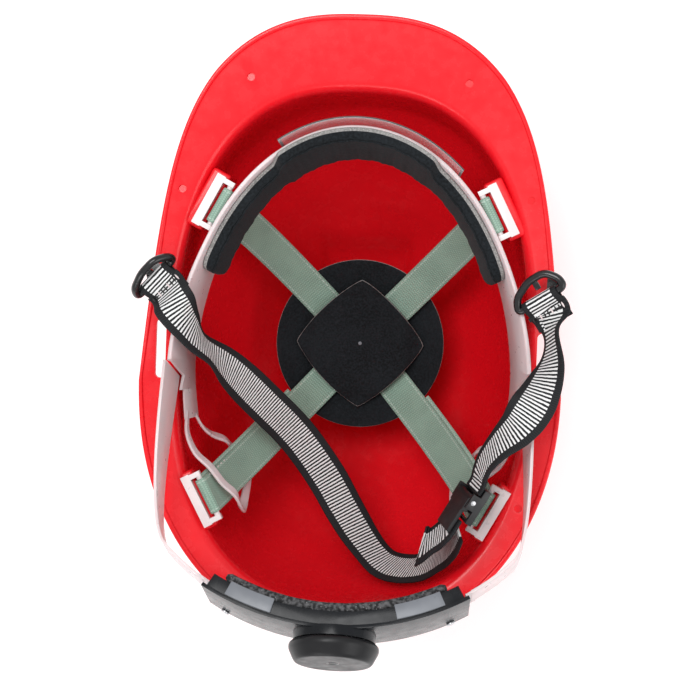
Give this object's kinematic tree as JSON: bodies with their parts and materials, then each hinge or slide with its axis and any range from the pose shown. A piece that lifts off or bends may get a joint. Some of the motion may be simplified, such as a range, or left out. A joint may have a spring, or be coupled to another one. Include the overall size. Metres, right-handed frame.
{
  "type": "arborist helmet",
  "caption": "Safety helmet with a full peak, webbing cradle, ratchet headband, brow and nape pads and a buckled chin strap",
  "frame": {"origin": "Centre of the flat on the crown's crest that the upturned helmet rests on", "axes": "+Z out of the helmet's opening, -Y towards the peak, +X towards the wearer's left"},
  "size_m": [0.2208, 0.3288, 0.2051],
  "materials": {
    "shell_plastic": "glossy red moulded plastic",
    "clip_plastic": "milky moulded plastic",
    "cradle_webbing": "sage green woven webbing",
    "grey_foam": "soft grey foam",
    "black_cloth": "black brushed cloth",
    "band_plastic": "translucent flexible plastic",
    "label_film": "clear film",
    "black_print": "printed border",
    "black_gloss": "glossy black plastic",
    "nape_foam": "dark speckled foam",
    "keeper_plastic": "grey plastic",
    "steel": "bright steel",
    "white_acetal": "white plastic",
    "chin_webbing": "black webbing with white bars",
    "ring_plastic": "glossy black plastic",
    "buckle_plastic": "matte black plastic"
  },
  "bodies": {
    "helmet": {"shell": "shell_plastic", "cradle_clip_front_left": "clip_plastic", "cradle_clip_front_right": "clip_plastic", "cradle_clip_rear_left": "clip_plastic", "cradle_clip_rear_right": "clip_plastic", "cradle_strap_a": "cradle_webbing", "cradle_strap_b": "cradle_webbing", "crown_pad_foam": "grey_foam", "crown_pad_cover": "black_cloth", "headband": "band_plastic", "brow_pad_foam": "grey_foam", "brow_pad_cover": "black_cloth", "info_label": "label_film", "label_frame": "black_print", "chin_strap_long": "chin_webbing", "chin_strap_short": "chin_webbing", "chin_strap_tail": "chin_webbing", "chin_loop_left": "chin_webbing", "chin_loop_right": "chin_webbing", "chin_anchor_left": "ring_plastic", "chin_anchor_right": "ring_plastic", "buckle_frame": "buckle_plastic", "buckle_pin": "steel"},
    "nape_unit": {"nape_housing": "black_gloss", "nape_cover": "black_gloss", "nape_foam_pad": "nape_foam", "housing_screws": "steel", "keeper_left": "keeper_plastic", "keeper_right": "keeper_plastic", "detent_ring": "white_acetal"},
    "knob": {"knob": "black_gloss", "pinion_shaft": "white_acetal", "ratchet_spring": "white_acetal", "knob_screw": "steel"},
    "arm_left": {"arm_left": "band_plastic"},
    "arm_right": {"arm_right": "band_plastic"},
    "ring_left": {"chin_ring_left": "ring_plastic"},
    "ring_right": {"chin_ring_right": "ring_plastic"},
    "lever": {"cam_lever": "buckle_plastic"}
  },
  "joints": [
    {"name": "nape_slide", "type": "slide", "parent": "helmet", "child": "nape_unit", "axis": [0, -0.9063, -0.4226], "range_m": [0, 0.017]},
    {"name": "knob_turn", "type": "hinge", "parent": "nape_unit", "child": "knob", "pos_m": [0, 0.1355, 0.18], "axis": [0, -0.9063, -0.4226], "range_deg": [0, 291.4]},
    {"name": "arm_left_swing", "type": "hinge", "parent": "helmet", "child": "arm_left", "pos_m": [0.091, 0.02221, 0.12717], "axis": [0, -0.4226, 0.9063], "range_deg": [0, 10.8]},
    {"name": "arm_right_swing", "type": "hinge", "parent": "helmet", "child": "arm_right", "pos_m": [-0.091, 0.02221, 0.12717], "axis": [0, -0.4226, 0.9063], "range_deg": [-10.8, 0]},
    {"name": "ring_left_turn", "type": "hinge", "parent": "helmet", "child": "ring_left", "pos_m": [0.099, -0.033, 0.158], "axis": [0.6736, 0.7223, -0.1564], "range_deg": [-40, 50]},
    {"name": "ring_right_turn", "type": "hinge", "parent": "helmet", "child": "ring_right", "pos_m": [-0.095, -0.0295, 0.161], "axis": [0.7818, 0.5214, -0.342], "range_deg": [-80, 0]},
    {"name": "buckle_lever", "type": "hinge", "parent": "helmet", "child": "lever", "pos_m": [-0.0621, 0.06982, 0.16255], "axis": [0.2676, -0.1545, -0.9511], "range_deg": [0, 95]}
  ],
  "couplings": [
    {"joint": "knob_turn", "follows": "nape_slide", "rad_per_m": 298.61},
    {"joint": "arm_left_swing", "follows": "nape_slide", "rad_per_m": 10.989},
    {"joint": "arm_right_swing", "follows": "nape_slide", "rad_per_m": -10.989}
  ]
}
